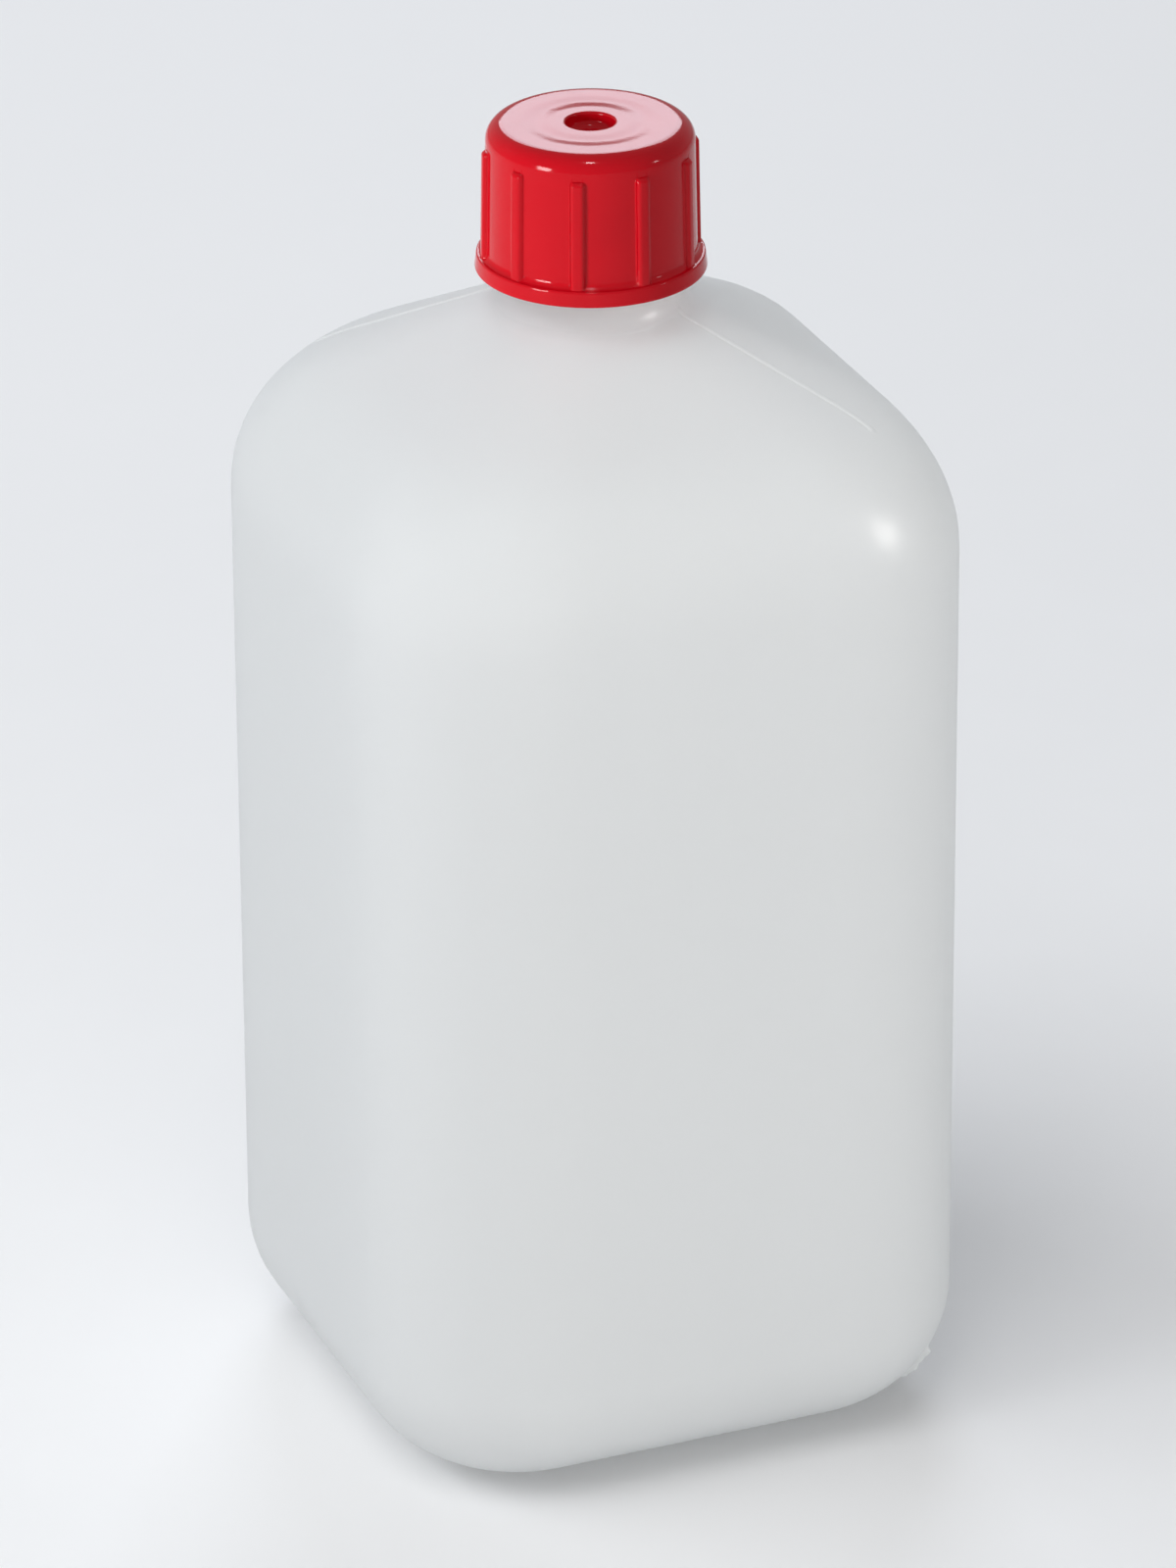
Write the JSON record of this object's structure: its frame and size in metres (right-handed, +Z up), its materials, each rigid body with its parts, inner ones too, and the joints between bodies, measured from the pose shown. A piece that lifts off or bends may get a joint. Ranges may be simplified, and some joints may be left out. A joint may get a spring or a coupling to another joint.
{
  "type": "square plastic bottle with screw cap",
  "caption": "Square blow-moulded plastic bottle with a hipped shoulder and a short round neck, closed by a ribbed, flanged screw cap over a sealing ring.",
  "frame": {"origin": "on the bottle's axis, in the plane that its standing ring rests on", "axes": "+Z up along the axis towards the cap; X and Y square to the flat walls; the mould's parting plane is the diagonal through +X -Y"},
  "size_m": [0.092, 0.092, 0.1969],
  "materials": {
    "bottle_plastic": "natural high-density polyethylene, milky and translucent, satin as blown",
    "seal_foam": "white foamed polyethylene, matt",
    "cap_plastic": "red injection-moulded plastic, glossy"
  },
  "bodies": {
    "bottle": {"bottle": "bottle_plastic"},
    "seal": {"sealing_ring": "seal_foam"},
    "cap": {"screw_cap": "cap_plastic"}
  },
  "joints": [
    {"name": "cap_lift", "type": "slide", "parent": "bottle", "child": "seal", "axis": [0, 0, 1], "range_m": [0, 0.02401]},
    {"name": "cap_turn", "type": "hinge", "parent": "seal", "child": "cap", "pos_m": [0, 0, 0.185], "axis": [0, 0, 1], "range_deg": [0, 2880]}
  ],
  "couplings": [
    {"joint": "cap_lift", "follows": "cap_turn", "m_per_rad": 0.00047746}
  ]
}
